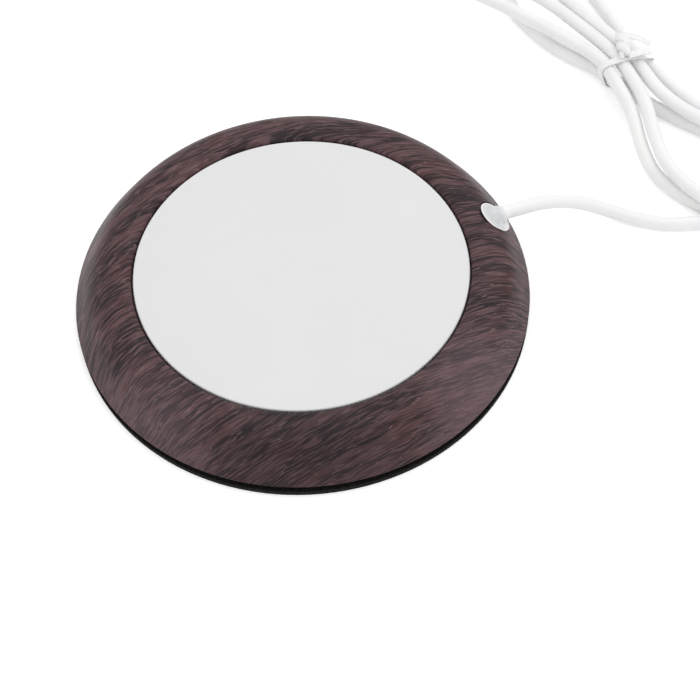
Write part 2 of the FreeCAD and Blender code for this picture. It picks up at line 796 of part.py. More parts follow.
def loose_end(points):
    """A short flat end that bends over its middle point."""
    corners = [Vector(*point) for point in points]
    sections = []
    for k, corner in enumerate(corners):
        heading = unit(corners[min(k + 1, 2)] - corners[max(k - 1, 0)])
        sections.append(strip_section(corner, heading, LOOSE_WIDTH, LOOSE_THICKNESS, 0.5))
    return Part.makeLoft(sections, True, True)


def hank_tie():
    """A flat band round the hank, twisted on top, with two loose ends."""
    outer = band_outline(CORD / 2 + TIE_CLEARANCE + TIE_THICKNESS)
    inner = band_outline(CORD / 2 + TIE_CLEARANCE)
    band = outer.cut(inner).extrude(Vector(TIE_WIDTH, 0, 0))
    band.translate(Vector(WAIST_MIDDLE - TIE_WIDTH / 2, 0, 0))
    tie = band.fuse(twist())
    for points in LOOSE_ENDS:
        tie = tie.fuse(loose_end(points))
    return laid_in_hank(tie)


# Plug

def at_plug(shape):
    """The shape, made with X running from the cord to the contacts, put where the plug lies."""
    copy = shape.copy()
    copy.rotate(Vector(0, 0, 0), UP, PLUG_TURN)
    copy.translate(Vector(PLUG_PLACE[0], PLUG_PLACE[1], PLUG_HEIGHT))
    return copy


def plug_box(start, length, width, low, high):
    return Part.makeBox(length, width, high - low, Vector(start, -width / 2, low))


def plug_grip():
    """The moulded grip with its grooved nose, and the socket that the shell sits in."""
    along = Vector(1, 0, 0)
    nose = Part.makeCone(NOSE_RADII[0], NOSE_RADII[1], NOSE_LENGTH + 1.0, Vector(0, 0, 0), along)
    pitch = NOSE_LENGTH / (NOSE_GROOVES + 1)
    for k in range(NOSE_GROOVES):
        start = pitch * (k + 1) - 0.45
        radius = NOSE_RADII[0] + (NOSE_RADII[1] - NOSE_RADII[0]) * start / NOSE_LENGTH
        ring = Part.makeCylinder(5, 0.9, Vector(start, 0, 0), along)
        nose = nose.cut(ring.cut(Part.makeCylinder(radius - 0.5, 0.9, Vector(start, 0, 0), along)))
    grip = plug_box(NOSE_LENGTH, GRIP_LENGTH, GRIP_WIDTH, -GRIP_THICKNESS / 2, GRIP_THICKNESS / 2)
    long_edges = [edge for edge in grip.Edges if abs(edge.tangentAt(0).x) > 0.9]
    grip = grip.makeFillet(2.2, long_edges)
    back_edges = [edge for edge in grip.Edges if abs(edge.CenterOfMass.x - NOSE_LENGTH) < 1e-3]
    grip = grip.makeFillet(1.2, back_edges)
    mouth = NOSE_LENGTH + GRIP_LENGTH
    socket = plug_box(mouth - SHELL_BURIED, SHELL_BURIED, SHELL_WIDTH,
                      -SHELL_THICKNESS / 2, SHELL_THICKNESS / 2)
    return at_plug(grip.fuse(nose).cut(socket))


def plug_shell():
    """The sheet metal shell, with two windows in its top and two in its underside."""
    start = NOSE_LENGTH + GRIP_LENGTH - SHELL_BURIED
    length = SHELL_BURIED + SHELL_REACH
    half = SHELL_THICKNESS / 2
    shell = plug_box(start, length, SHELL_WIDTH, -half, half)
    shell = shell.cut(plug_box(start, length, SHELL_WIDTH - 2 * SHELL_WALL,
                               -half + SHELL_WALL, half - SHELL_WALL))
    for across in (-2.9, 2.9):
        window = plug_box(start + SHELL_BURIED + 8.0, 2.2, 2.5, -SHELL_THICKNESS, SHELL_THICKNESS)
        window.translate(Vector(0, across, 0))
        shell = shell.cut(window)
    return at_plug(shell)


def tongue_top():
    return -SHELL_THICKNESS / 2 + SHELL_WALL + TONGUE_THICKNESS


def plug_tongue():
    """The plastic tongue on the floor of the shell, and the block that closes the shell behind."""
    start = NOSE_LENGTH + GRIP_LENGTH - SHELL_BURIED
    low = -SHELL_THICKNESS / 2 + SHELL_WALL
    wide = SHELL_WIDTH - 2 * SHELL_WALL
    tongue = plug_box(start, SHELL_BURIED + SHELL_REACH - 0.6, wide, low, tongue_top())
    back = plug_box(start, SHELL_BURIED + 1.0, wide, low, SHELL_THICKNESS / 2 - SHELL_WALL)
    return at_plug(tongue.fuse(back))


def plug_contacts():
    """Four flat contacts on the tongue: the outer two are longer."""
    start = NOSE_LENGTH + GRIP_LENGTH + 1.0
    strips = []
    for across in CONTACT_OFFSETS:
        length = 16.0 if abs(across) > 2 else 14.9
        strip = plug_box(start, length, 1.1, tongue_top(), tongue_top() + CONTACT_THICKNESS)
        strip.translate(Vector(0, across, 0))
        strips.append(strip)
    return at_plug(Part.makeCompound(strips))


if __name__ == "__main__":
    put("wood_ring", wood_ring())
    put("heating_plate", heating_plate())
    put("plate_tape", plate_tape())
    put("heat_spreader", disc(SPREADER_RADIUS, SPREADER_LOW, PLATE_LOW))
    put("heater_film", disc(FILM_RADIUS, FILM_LOW, SPREADER_LOW))
    put("heater_trace", heater_trace())
    put("solder_joints", solder_joints())
    put("thermal_cutoff", thermal_cutoff())
    put("insulation_felt", insulation_felt())
    put("presser_disc", presser_disc())
    put("base_cover", base_cover())
    put("base_screws", base_screws())
    put("pad_adhesive", disc(GLUE_RADIUS, PAD_THICKNESS, BASE_LOW))
    put("base_pad", disc(PAD_RADIUS, 0, PAD_THICKNESS, PAD_SHIFT))
    put("strain_relief", strain_relief())
    put("inner_cord", inner_cord())
    put("cord_clamp", cord_clamp())
    put("clamp_screws", clamp_screws())
    put("live_lead", lead(1))
    put("return_lead", lead(-1))
    run, hank = cord_pieces()
    put("cord_run", run)
    put("cord_hank", hank)
    put("hank_tie", hank_tie())
    put("plug_grip", plug_grip())
    put("plug_shell", plug_shell())
    put("plug_tongue", plug_tongue())
    put("plug_contacts", plug_contacts())
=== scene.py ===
# %% [markdown]
# The imported solids of an electric mug warmer come in first, as a fixed frame: every piece made
# here is in metres and sits where the solids say.

# %% Load the solids
import math

import bpy
import numpy as np
from mathutils import Matrix


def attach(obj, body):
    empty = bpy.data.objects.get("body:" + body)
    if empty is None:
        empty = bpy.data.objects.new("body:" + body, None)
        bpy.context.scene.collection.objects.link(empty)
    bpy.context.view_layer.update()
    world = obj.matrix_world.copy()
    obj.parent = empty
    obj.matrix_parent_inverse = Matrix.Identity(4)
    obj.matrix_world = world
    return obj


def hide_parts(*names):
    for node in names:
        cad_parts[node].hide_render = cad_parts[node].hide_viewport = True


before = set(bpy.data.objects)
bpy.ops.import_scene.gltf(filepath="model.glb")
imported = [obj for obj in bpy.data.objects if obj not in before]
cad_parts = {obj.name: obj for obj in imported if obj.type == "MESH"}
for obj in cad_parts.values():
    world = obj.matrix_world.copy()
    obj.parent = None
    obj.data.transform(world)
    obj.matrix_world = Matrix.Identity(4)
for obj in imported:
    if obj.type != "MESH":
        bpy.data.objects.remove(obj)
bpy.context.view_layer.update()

MM = 0.001
scene = bpy.context.scene
scene.view_settings.view_transform = "Standard"

# %% [markdown]
# A photograph fixes the camera: its focal length, place and turn decide how round the ring looks
# and where each edge falls. They were found by fitting the ring's circles, so the camera is set
# from a matrix and not aimed by hand.

# %% Camera
LENS = 63.618
CAMERA_PLACE = (0.0, -187.99, 256.3)
CAMERA_UP = (0.07962, 0.83070, 0.55105)
CAMERA_BACK = (-0.03376, -0.55024, 0.83433)
SENSOR_WIDTH = 36.0
NEAREST_SEEN = 0.01
FARTHEST_SEEN = 20.0


def unit(vector):
    """The vector divided by its length."""
    return np.asarray(vector, float) / np.linalg.norm(vector)


def axes_matrix(right, up, back, place):
    """The matrix whose columns are three axes and a place in metres."""
    return Matrix([[right[k], up[k], back[k], place[k]] for k in range(3)] + [[0, 0, 0, 1]])


def set_camera():
    """The columns of the camera's turn are its right, up and back axes, squared to each other."""
    back = unit(CAMERA_BACK)
    right = unit(np.cross(CAMERA_UP, back))
    data = bpy.data.cameras.new("camera")
    data.lens = LENS
    data.sensor_width = SENSOR_WIDTH
    data.clip_start = NEAREST_SEEN
    data.clip_end = FARTHEST_SEEN
    holder = bpy.data.objects.new("camera", data)
    scene.collection.objects.link(holder)
    holder.matrix_world = axes_matrix(right, np.cross(back, right), back, np.array(CAMERA_PLACE) * MM)
    scene.camera = holder
    return holder


camera = set_camera()
print("camera at", [round(v, 4) for v in camera.location])

# %% [markdown]
# Every finish below is a network of shader nodes, wired by script so that it can be read and changed
# as text. The node editor would do as well, but the file could not be rerun from nothing. A small
# helper keeps each network short: it adds a node, fills its sockets with values or with links, and
# hands back the node. Smooth noise between 0 and 1 keeps mostly to the middle, so most colours are
# spread over a span of it. A gloss is spread over that span too or, where it should vary less, over
# a wider reach.

# %% Node helpers
NOISE_SPAN = (0.3, 0.7)
NOISE_REACH = (0.2, 0.8)


def linear(red, green, blue):
    """A colour as seen on a screen, 0 to 255, turned into linear light by the standard sRGB curve."""
    out = []
    for value in (red, green, blue):
        value = value / 255
        out.append(value / 12.92 if value < 0.04045 else ((value + 0.055) / 1.055) ** 2.4)
    return out + [1.0]


def add(tree, kind, settings=None, **sockets):
    """Adds one node. A socket is named, or numbered as in_0, and gets a value or another socket."""
    node = tree.nodes.new(kind)
    for name, value in (settings or {}).items():
        setattr(node, name, value)
    for name, value in sockets.items():
        socket = node.inputs[int(name[3:])] if name.startswith("in_") else node.inputs[name.replace("_", " ")]
        if isinstance(value, bpy.types.NodeSocket):
            tree.links.new(value, socket)
        else:
            socket.default_value = value
    return node


def new_finish(name, colour, roughness, **sockets):
    """A material with one main shader, and its tree and shader to build on."""
    material = bpy.data.materials.new(name)
    material.use_nodes = True
    tree = material.node_tree
    shader = tree.nodes["Principled BSDF"]
    shader.inputs["Base Color"].default_value = colour
    shader.inputs["Roughness"].default_value = roughness
    for key, value in sockets.items():
        shader.inputs[key.replace("_", " ")].default_value = value
    return material, tree, shader


def vectors(tree, operation, output, **sockets):
    """One step of vector arithmetic, and the output named: Vector or Value."""
    return add(tree, "ShaderNodeVectorMath", {"operation": operation}, **sockets).outputs[output]


def place_mm(tree):
    """The place on the object, in millimetres."""
    where = add(tree, "ShaderNodeTexCoord").outputs["Object"]
    return vectors(tree, "SCALE", "Vector", in_0=where, Scale=1 / MM)


def noise(tree, vector, scale, detail=2.0, roughness=0.5):
    """Smooth noise between 0 and 1, its cells 1/scale of the vector's unit wide."""
    return add(tree, "ShaderNodeTexNoise", None, Vector=vector, Scale=scale, Detail=detail,
               Roughness=roughness).outputs["Fac"]


def maths(tree, operation, first, second=0.0):
    """One step of arithmetic on numbers or sockets."""
    return add(tree, "ShaderNodeMath", {"operation": operation}, in_0=first, in_1=second).outputs[0]


def spread(tree, value, low, high, to_low=0.0, to_high=1.0):
    """The value stretched so that low becomes to_low and high becomes to_high, smoothly between."""
    return add(tree, "ShaderNodeMapRange", {"interpolation_type": "SMOOTHSTEP"}, Value=value,
               From_Min=low, From_Max=high, To_Min=to_low, To_Max=to_high).outputs["Result"]


def blend_colours(tree, share, first, second):
    """The first colour carried towards the second by share."""
    return add(tree, "ShaderNodeMix", {"data_type": "RGBA"}, in_0=share, in_6=first, in_7=second).outputs[2]


def mottle(tree, source, dark, light):
    """A colour that goes from dark to light as the noise goes through the middle of its range."""
    return blend_colours(tree, spread(tree, source, *NOISE_SPAN), dark, light)


def paint(tree, shader, colour):
    """Links a colour to the shader."""
    tree.links.new(colour, shader.inputs["Base Color"])


def set_gloss(tree, shader, roughness):
    """Links a roughness to the shader."""
    tree.links.new(roughness, shader.inputs["Roughness"])


def bump(tree, shader, height, distance, strength=1.0):
    """Tilts the surface's normals by the slope of height, whose unit is distance in metres."""
    node = add(tree, "ShaderNodeBump", None, Height=height, Distance=distance, Strength=strength)
    tree.links.new(node.outputs["Normal"], shader.inputs["Normal"])


def plain_numbers(vector):
    """A vector as plain numbers, as a socket takes them."""
    return tuple(float(value) for value in vector)


# %% [markdown]
# The cord comes before the other pieces, because its length and its place can change the solids.
# It is one unbroken line: out of the strain relief, down to the table, round, and then to and fro
# through the tie. A smooth spline that takes the route's points as its control points gives the
# soft bends of a real cord, so no bend is rounded by hand.

# %% Cord values
CORD = 3.7
EXIT_TURN = 13.4
EXIT_REACH = 54.7
EXIT_HEIGHT = 10.3
RUN_ROUTE = [
    (58.6, 14.0, 10.3),
    (65.2, 16.2, 9.2),
    (73.5, 17.7, 6.3),
    (81.6, 16.5, 3.3),
    (89.2, 13.7, 1.85),
    (97.2, 11.0, 1.85),
    (105.6, 11.2, 1.85),
]
WAIST = (96.0, 72.0)
HANK_TURN = -60.0
WAIST_MIDDLE = 3.9
WAIST_HALF = 4.0
FLOOR_LAYER = CORD / 2
UPPER_LAYER = 6.2
PASSES = {
    "first": (5.9, -0.1, 2.75),
    "second": (-6.7, 0.0, 2.75),
    "third": (-8.2, -0.3, 6.9),
    "fourth": (0.7, -0.15, 6.9),
    "last": (-3.8, -0.2, 7.6),
}
LOBES = [
    {"side": -1, "starts": 1, "centre": (-31.8, 1.6), "radius": 12.5, "height": FLOOR_LAYER,
     "steps": 3, "late": False, "out": ("first", 0.4, -0.1, 10.1), "back": ("second", -2.6, 0.0, -5.9)},
    {"side": 1, "starts": 1, "centre": (51.4, -4.9), "radius": 12.7, "height": FLOOR_LAYER,
     "steps": 3, "late": False, "out": ("second", -1.5, -0.1, 24.2), "back": ("third", -4.9, 2.9, -4.4)},
    {"side": -1, "starts": -1, "centre": (-106.1, -12.0), "radius": 15.1, "height": FLOOR_LAYER,
     "steps": 6, "late": True, "out": ("third", -5.3, 2.5, 4.5), "back": ("fourth", -1.6, 0.6, 5.0)},
    {"side": 1, "starts": 1, "centre": (53.0, -5.9), "radius": 12.8, "height": UPPER_LAYER,
     "steps": 3, "late": False, "out": ("fourth", -4.6, -0.6, 22.1), "back": ("last", -3.5, 2.5, -3.6)},
]
LOBE_ARC_STEPS = 4
ENTRY_CENTRE = (54.9, -3.6)
ENTRY_RADIUS = 18.8
ENTRY_START = -31.6
ENTRY_OUTWARD = 11.8
ENTRY_FLANK = ("first", -4.1, 0.4)
ENTRY_STEPS = 3
ENTRY_FLANK_STEPS = 3
LATE_POWER = 5
EARLY_SAG = 0.9
TAIL = [
    (-0.1, -3.0, 7.6),
    (-14.0, -2.9, 6.8),
    (-28.0, -3.4, 6.5),
    (-40.0, -6.8, 6.5),
    (-50.0, -10.3, 4.2),
    (-58.0, -18.0, 1.85),
    (-65.5, -25.5, 1.85),
    (-73.0, -34.5, 2.4),
]
HANDOVER_SHARE = 0.28
PLUG_PLACE = (12.0, 121.5)
PLUG_TURN = 171.0
PLUG_HEIGHT = 4.0
PLUG_LEAD = 8.8
CORD_RUN_STEPS = 14
CORD_ROUND_STEPS = 7

# %% Cord route


def polar(radius, degrees, height=0.0):
    """The point at this distance from the vertical axis, this far round from +X."""
    turn = math.radians(degrees)
    return np.array([radius * math.cos(turn), radius * math.sin(turn), height])


def hank_point(along, across, height):
    """Along and across are measured from the waist, along the hank's long axis and square to it.
    All three are numbers, or arrays of one shape."""
    turn = math.radians(HANK_TURN)
    return np.stack([WAIST[0] + along * math.cos(turn) - across * math.sin(turn),
                     WAIST[1] + along * math.sin(turn) + across * math.cos(turn), height], axis=-1)


def flank(column, side, joint, height, steps, late, bow, sway):
    """A straight line from the tie to the joint, plus bow times a half sine and sway times a
    whole sine. The height goes from the pass to the arc by t (1 + sag - sag t), or late, by t^5."""
    middle, drift, low = PASSES[column]
    start = WAIST_MIDDLE + side * WAIST_HALF
    across = middle + drift * side * WAIST_HALF
    points = [(start, across, low)]
    for k in range(1, steps + 1):
        t = k / (steps + 1)
        share = t ** LATE_POWER if late else t * (1 + EARLY_SAG - EARLY_SAG * t)
        u = start + (joint[0] - start) * t
        v = across + (joint[1] - across) * t
        v += bow * math.sin(math.pi * t) + sway * math.sin(2 * math.pi * t)
        points.append((u, v, low + (height - low) * share))
    return points


def lobe(side, starts, centre, radius, height, steps, late, out, back):
    """Out along one flank, round an arc of the given radius, and back along the other flank."""
    flanks = []
    for (column, bow, sway, outward), edge in ((out, starts), (back, -starts)):
        tilt = math.radians(outward)
        joint = (centre[0] - side * radius * math.sin(tilt), centre[1] + edge * radius * math.cos(tilt))
        flanks.append(flank(column, side, joint, height, steps, late, bow, sway))
    first = math.degrees(math.atan2(starts * math.cos(math.radians(out[3])),
                                    -math.sin(math.radians(out[3]))))
    step = (180 + out[3] + back[3]) / LOBE_ARC_STEPS
    pole = radius / math.cos(math.radians(step / 2))
    arc_points = []
    for k in range(LOBE_ARC_STEPS):
        turn = math.radians(first - starts * step * (k + 0.5))
        arc_points.append((centre[0] + side * pole * math.cos(turn),
                           centre[1] + pole * math.sin(turn), height))
    return flanks[0] + arc_points + flanks[1][::-1]


def entry_bend():
    """The first bend, and the flank that leads from it to the tie."""
    step = (90 + ENTRY_OUTWARD - ENTRY_START) / ENTRY_STEPS
    pole = ENTRY_RADIUS / math.cos(math.radians(step / 2))
    points = []
    for k in range(ENTRY_STEPS):
        turn = math.radians(ENTRY_START + step * (k + 0.5))
        points.append((ENTRY_CENTRE[0] + pole * math.cos(turn),
                       ENTRY_CENTRE[1] + pole * math.sin(turn), FLOOR_LAYER))
    tilt = math.radians(ENTRY_OUTWARD)
    joint = (ENTRY_CENTRE[0] - ENTRY_RADIUS * math.sin(tilt),
             ENTRY_CENTRE[1] + ENTRY_RADIUS * math.cos(tilt))
    column, bow, sway = ENTRY_FLANK
    return points + flank(column, 1, joint, FLOOR_LAYER, ENTRY_FLANK_STEPS, False, bow, sway)[::-1]


def cord_points():
    """All the control points of the cord, in millimetres."""
    route = entry_bend()
    for data in LOBES:
        route += lobe(**data)
    route += TAIL
    first = hank_point(*route[0])
    before = np.array(RUN_ROUTE[-1])
    handover = before + (first - before) * HANDOVER_SHARE
    end = np.array([*PLUG_PLACE, PLUG_HEIGHT])
    ahead = end - polar(PLUG_LEAD, PLUG_TURN)
    exit_place = polar(EXIT_REACH, EXIT_TURN, EXIT_HEIGHT)
    hank = [handover] + [hank_point(*point) for point in route] + [ahead, end]
    return np.array([exit_place] + [np.array(point) for point in RUN_ROUTE] + hank)


ROUTE = cord_points()
print("cord: control points", len(ROUTE))

# %% Cord


def make_cord(points, diameter):
    """One open spline of order 3 with the route's points as its control points. The bevel is 1 m
    and each point's radius says what share of it the cord takes."""
    curve = bpy.data.curves.new("cord", "CURVE")
    curve.dimensions = "3D"
    curve.resolution_u = CORD_RUN_STEPS
    curve.bevel_depth = 1.0
    curve.bevel_resolution = CORD_ROUND_STEPS
    curve.use_fill_caps = True
    spline = curve.splines.new("NURBS")
    spline.points.add(len(points) - 1)
    rows = np.concatenate([points * MM, np.ones((len(points), 1))], axis=1)
    spline.points.foreach_set("co", rows.ravel())
    spline.points.foreach_set("radius", np.full(len(points), diameter / 2 * MM))
    spline.order_u = 3
    spline.use_endpoint_u = True
    holder = bpy.data.objects.new("cord", curve)
    scene.collection.objects.link(holder)
    return holder


def line_of(holder):
    """The middle line of a bevelled curve, as an array of points in metres, and its length."""
    curve = holder.data.copy()
    curve.bevel_depth = 0.0
    bare = bpy.data.objects.new("bare", curve)
    mesh = bpy.data.meshes.new_from_object(bare)
    found = np.zeros(len(mesh.vertices) * 3)
    mesh.vertices.foreach_get("co", found)
    found = found.reshape(-1, 3)
    bpy.data.objects.remove(bare)
    bpy.data.curves.remove(curve)
    bpy.data.meshes.remove(mesh)
    return found, float(np.linalg.norm(np.diff(found, axis=0), axis=1).sum())


cord = make_cord(ROUTE, CORD)
CORD_LINE, CORD_LENGTH = line_of(cord)
print("cord: length", round(CORD_LENGTH, 4), "m, lowest", round(float(CORD_LINE[:, 2].min()), 5))
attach(cord, "root")
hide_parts("cord_run", "cord_hank")

# %% [markdown]
# The jacket is soft white plastic with a low gloss. One flat colour would look like paper, so slow
# noise shifts the white a little, and fine noise makes the gloss and the surface slightly uneven.

# %% Cord finish
JACKET_BUMP = 0.00003
cord_finish, tree, shader = new_finish("white_cord_jacket", linear(247, 247, 247), roughness=0.36)
where = place_mm(tree)
slow = noise(tree, where, scale=0.09)
paint(tree, shader, mottle(tree, slow, linear(245, 245, 246), linear(249, 249, 248)))
fine = noise(tree, where, scale=1.6, detail=3.0)
set_gloss(tree, shader, spread(tree, fine, *NOISE_REACH, to_low=0.30, to_high=0.40))
bump(tree, shader, fine, JACKET_BUMP)
cord.data.materials.append(cord_finish)
print("cord: finish", cord_finish.name)

# %% [markdown]
# Two small soft things are drawn as surfaces of their own: the strain relief and the tie. Each is a
# grid of points, one ring after another, worked out from a formula in millimetres. A helper joins
# the rings with faces, looks at the sign of the volume so that every face points outward, and puts
# the piece on the object.

# %% Surfaces


def ring_faces(rings, sides, closed):
    """Four-sided faces between each ring and the next. An open row of rings gets an end cap at
    both ends, and a closed one joins its last ring to its first."""
    ring = np.arange(rings if closed else rings - 1)[:, None]
    side = np.arange(sides)[None, :]
    beside = (side + 1) % sides
    near = ring * sides
    far = (ring + 1) % rings * sides
    faces = np.stack([near + side, near + beside, far + beside, far + side], axis=-1).reshape(-1, 4)
    if closed:
        return faces, np.zeros((0, sides), int)
    return faces, np.stack([side[0, ::-1], (rings - 1) * sides + side[0]])


def volume_of(points, faces):
    """The sum of a . (b x c) / 6 over the triangles a, b, c that fan out in every face."""
    corners = points[faces]
    return float(np.sum(corners[:, :1] * np.cross(corners[:, 1:-1], corners[:, 2:])) / 6)


def add_rings(mesh_rows, rings, closed=False):
    """Adds one tube to the rows of a mesh, turned so that its faces look outward."""
    points, faces, caps = mesh_rows
    count, sides = rings.shape[:2]
    own = rings.reshape(-1, 3)
    own_faces, own_caps = ring_faces(count, sides, closed)
    if volume_of(own, own_faces) + volume_of(own, own_caps) < 0:
        own_faces = own_faces[:, ::-1]
        own_caps = own_caps[:, ::-1]
    start = sum(len(block) for block in points)
    points.append(own)
    faces += (own_faces + start).tolist()
    caps += (own_caps + start).tolist()


def make_piece(name, mesh_rows, slot_name, *replaced):
    """A piece at the origin from points in millimetres, with smooth sides and flat caps."""
    points, faces, caps = mesh_rows
    mesh = bpy.data.meshes.new(name)
    mesh.from_pydata((np.concatenate(points) * MM).tolist(), [], faces + caps)
    smooth = [True] * len(faces) + [False] * len(caps)
    mesh.polygons.foreach_set("use_smooth", smooth)
    mesh.update()
    piece = bpy.data.objects.new(name, mesh)
    scene.collection.objects.link(piece)
    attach(piece, "root")
    if replaced:
        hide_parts(*replaced)
    print(name + ":", len(mesh.vertices), "points,", len(mesh.polygons), "faces")
    return piece


# %% [markdown]
# The strain relief is a small disc, tilted with the dome, whose face swells into the cord. Its rings
# start square to the disc's axis, follow the raised edge and the shallow face, and then turn along a
# short curve until they are square to the cord. A turned disc and a bent cone would do as well, but
# they meet in a seam, and one row of rings has none.

# %% Strain relief values
DISC_REACH = 51.9
DISC_HEIGHT = 9.25
DISC_TILT = 39.0
DISC_PROFILE = [
    (2.40, -2.60),
    (2.40, -0.50),
    (4.30, -0.48),
    (4.46, -0.38),
    (4.52, -0.15),
    (4.56, 0.06),
    (4.70, 0.12),
    (4.66, 0.33),
    (4.56, 0.40),
    (4.46, 0.40),
    (4.38, 0.33),
    (4.32, 0.22),
    (4.22, 0.17),
    (3.90, 0.19),
    (3.50, 0.28),
    (3.12, 0.46),
]
# The foot's rows carry a painted shade, and the raised edge's rows a painted highlight.
PAINTED_SHADE_ROWS = (2, 5)
PAINTED_HIGHLIGHT_ROWS = (5, 11)
FLARE_STEPS = 22
FLARE_RISE = 1.0
FLARE_LEAD = 1.3
FLARE_END = 0.7
FLARE_POWER = 2.4
FLARE_PAST_CORD = 0.04
FACE_TO_CORD = (52.6, 54.9)
RELIEF_SIDES = 72

# %% Strain relief


def circle(centre, axis, radius, across, sides):
    """Points c + r (cos a, sin a) in the plane square to the axis."""
    upward = unit(np.cross(axis, across))
    turn = np.linspace(0, 2 * math.pi, sides, endpoint=False)
    return centre + radius * (np.cos(turn)[:, None] * across + np.sin(turn)[:, None] * upward)


def cubic(points, t):
    """The place (1-t)^3 a + 3 (1-t)^2 t b + 3 (1-t) t^2 c + t^3 d, and the way it runs there."""
    a, b, c, d = points
    place = (1 - t) ** 3 * a + 3 * (1 - t) ** 2 * t * b + 3 * (1 - t) * t ** 2 * c + t ** 3 * d
    slope = 3 * (1 - t) ** 2 * (b - a) + 6 * (1 - t) * t * (c - b) + 3 * t ** 2 * (d - c)
    return place, unit(slope)


def relief_rings():
    """The disc's rings, then rings whose radius falls to the cord's by (1 - t)^2.4 along the flare."""
    tilt = math.radians(DISC_TILT)
    middle = polar(DISC_REACH, EXIT_TURN, DISC_HEIGHT)
    outward = polar(math.sin(tilt), EXIT_TURN, math.cos(tilt))
    across = polar(1.0, EXIT_TURN + 90)
    rings = [circle(middle + outward * height, outward, radius, across, RELIEF_SIDES)
             for radius, height in DISC_PROFILE]
    radius, height = DISC_PROFILE[-1]
    away = polar(1.0, EXIT_TURN)
    start = middle + outward * height
    end = polar(EXIT_REACH, EXIT_TURN, EXIT_HEIGHT) + away * FLARE_END
    curve = [start, start + outward * FLARE_RISE, end - away * FLARE_LEAD, end]
    least = CORD / 2 + FLARE_PAST_CORD
    for k in range(1, FLARE_STEPS + 1):
        t = k / FLARE_STEPS
        place, heading = cubic(curve, t)
        flare = least + (radius - least) * (1 - t) ** FLARE_POWER
        rings.append(circle(place, heading, flare, across, RELIEF_SIDES))
    return np.array(rings)


relief_rows = ([], [], [])
add_rings(relief_rows, relief_rings())
relief = make_piece("strain_relief_flare", relief_rows, "relief", "strain_relief")

# %% [markdown]
# The face of the disc is pale grey, its raised edge gets a painted highlight of lighter, warmer white,
# and a thin band of painted shade, near black, lies round its foot. Three finishes on the rings of one
# mesh give clean borders, where a pattern across one finish would blur them. Towards the cord the face
# turns as white as the cord.

# %% Strain relief finish
RELIEF_BUMP = 0.00002
EXIT_AXIS = plain_numbers(polar(1.0, EXIT_TURN))
relief_finish, tree, shader = new_finish("relief_plastic", linear(226, 228, 229), roughness=0.38)
where = place_mm(tree)
fine = noise(tree, where, scale=1.2, detail=3.0)
colour = mottle(tree, fine, linear(213, 215, 216), linear(220, 222, 223))
reach = vectors(tree, "DOT_PRODUCT", "Value", in_0=where, in_1=EXIT_AXIS)
colour = blend_colours(tree, spread(tree, reach, *FACE_TO_CORD), colour, linear(250, 250, 250))
paint(tree, shader, colour)
bump(tree, shader, fine, RELIEF_BUMP)


def speckled_finish(name, colour, roughness, dark, light):
    """Two near tones mixed by fine noise."""
    material, tree, shader = new_finish(name, colour, roughness)
    paint(tree, shader, blend_colours(tree, noise(tree, place_mm(tree), scale=2.0), dark, light))
    return material


# The raised edge's lighter, warmer white is a painted highlight.
painted_highlight_finish = speckled_finish("relief_painted_highlight", linear(253, 246, 246), roughness=0.3,
                              dark=linear(252, 243, 243), light=linear(254, 248, 248))
# The near-black finish round the disc's foot is painted shade, not a part of its own.
painted_shade_finish = speckled_finish("relief_painted_shade", linear(14, 12, 12), roughness=0.7,
                                dark=linear(11, 9, 9), light=linear(18, 15, 15))
for finish in (relief_finish, painted_highlight_finish, painted_shade_finish):
    relief.data.materials.append(finish)
row_of_face = np.arange(len(relief.data.polygons)) // RELIEF_SIDES
finish_of_face = np.zeros(len(row_of_face), int)
for number, (first, end) in enumerate((PAINTED_HIGHLIGHT_ROWS, PAINTED_SHADE_ROWS), start=1):
    finish_of_face[(first <= row_of_face) & (row_of_face < end)] = number
relief.data.polygons.foreach_set("material_index", finish_of_face.tolist())
print("strain relief: faces of each finish", np.bincount(finish_of_face).tolist())

# %% [markdown]
# The tie is one coated strip: it runs round the five passes, a little slanted, its two ends are wound
# about each other on top, and they stick out as short flat tags. Every stretch is a ribbon with a
# rounded section that follows a line of points in the hank's own axes. A bevelled curve could make
# it too, but its twist is hard to steer, and here each ring's width and thickness are plain vectors.

# %% Tie values
STRIP_HALF_WIDTH = 1.05
STRIP_HALF_THICKNESS = 0.24
STRIP_SIDES = 16
SECTION_POWER = 0.7
BAND_GAP = 0.2
BAND_OFFSET = CORD / 2 + BAND_GAP + STRIP_HALF_THICKNESS
BAND_ALONG = 6.9
BAND_SLANT = 0.36
BAND_BEND = 0.07
BAND_CORNERS = ("second", "first", "fourth", "last", "third")
BAND_CORNER_POINTS = 9
WIND_START = (5.6, -4.3, 11.3)
WIND_END = (-2.4, 1.3, 10.9)
WIND_TURNS = 1.3
WIND_RADIUS = 0.98
WIND_HALF_WIDTH = 1.30
WIND_HALF_THICKNESS = 0.88
WIND_POINTS = 60
WIND_END_SHARE = 0.72
WIND_SWELL_POWER = 0.6
UPPER_TAG = [(-1.2, 0.2, 11.5), (0.6, 1.6, 11.7), (2.2, 3.0, 11.5), (3.9, 4.3, 11.0), (5.6, 5.5, 10.1)]
LOWER_TAG = [(5.9, -3.2, 10.6), (6.6, -1.4, 11.0), (7.1, 0.3, 11.0), (7.5, 1.9, 10.8), (7.9, 3.4, 10.4)]
TAG_HALF_WIDTH = 1.2
TAG_POINTS = 24
TAG_SMOOTHINGS = 3

# %% Tie


def ribbon(middles, wide, thick, half_width, half_thickness):
    """A rounded section (w |cos a|^p, h |sin a|^p), with the signs kept, at every middle."""
    turn = np.linspace(0, 2 * math.pi, STRIP_SIDES, endpoint=False)
    over = np.sign(np.cos(turn)) * np.abs(np.cos(turn)) ** SECTION_POWER * half_width
    rise = np.sign(np.sin(turn)) * np.abs(np.sin(turn)) ** SECTION_POWER * half_thickness
    return middles[:, None] + wide[:, None] * over[None, :, None] + thick[:, None] * rise[None, :, None]


def unit_rows(rows):
    """Each row divided by its length."""
    return rows / np.linalg.norm(rows, axis=1)[:, None]


